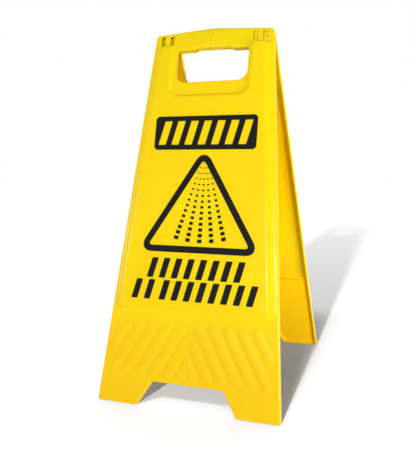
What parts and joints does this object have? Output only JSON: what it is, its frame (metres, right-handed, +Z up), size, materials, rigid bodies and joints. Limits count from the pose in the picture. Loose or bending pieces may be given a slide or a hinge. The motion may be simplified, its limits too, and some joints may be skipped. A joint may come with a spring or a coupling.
{
  "type": "a-frame floor sign",
  "caption": "Folding A-frame floor sign of hinged moulded panels with a carrying handle, raised label field and level feet.",
  "frame": {"origin": "on the floor, in the middle between the four feet of the open sign", "axes": "+Z up, X across the panels along the hinge, -Y out of the front panel, +Y out of the rear panel"},
  "size_m": [0.2994, 0.3154, 0.5802],
  "materials": {
    "front_panel": "injection-moulded yellow polypropylene, half gloss",
    "rear_panel": "injection-moulded yellow polypropylene, half gloss"
  },
  "bodies": {
    "front": {"front_panel": "front_panel"},
    "rear": {"rear_panel": "rear_panel"}
  },
  "joints": [
    {"name": "fold_hinge", "type": "hinge", "parent": "front", "child": "rear", "pos_m": [0, 0, 0.5641], "axis": [-1, 0, 0], "range_deg": [0, 30]}
  ]
}
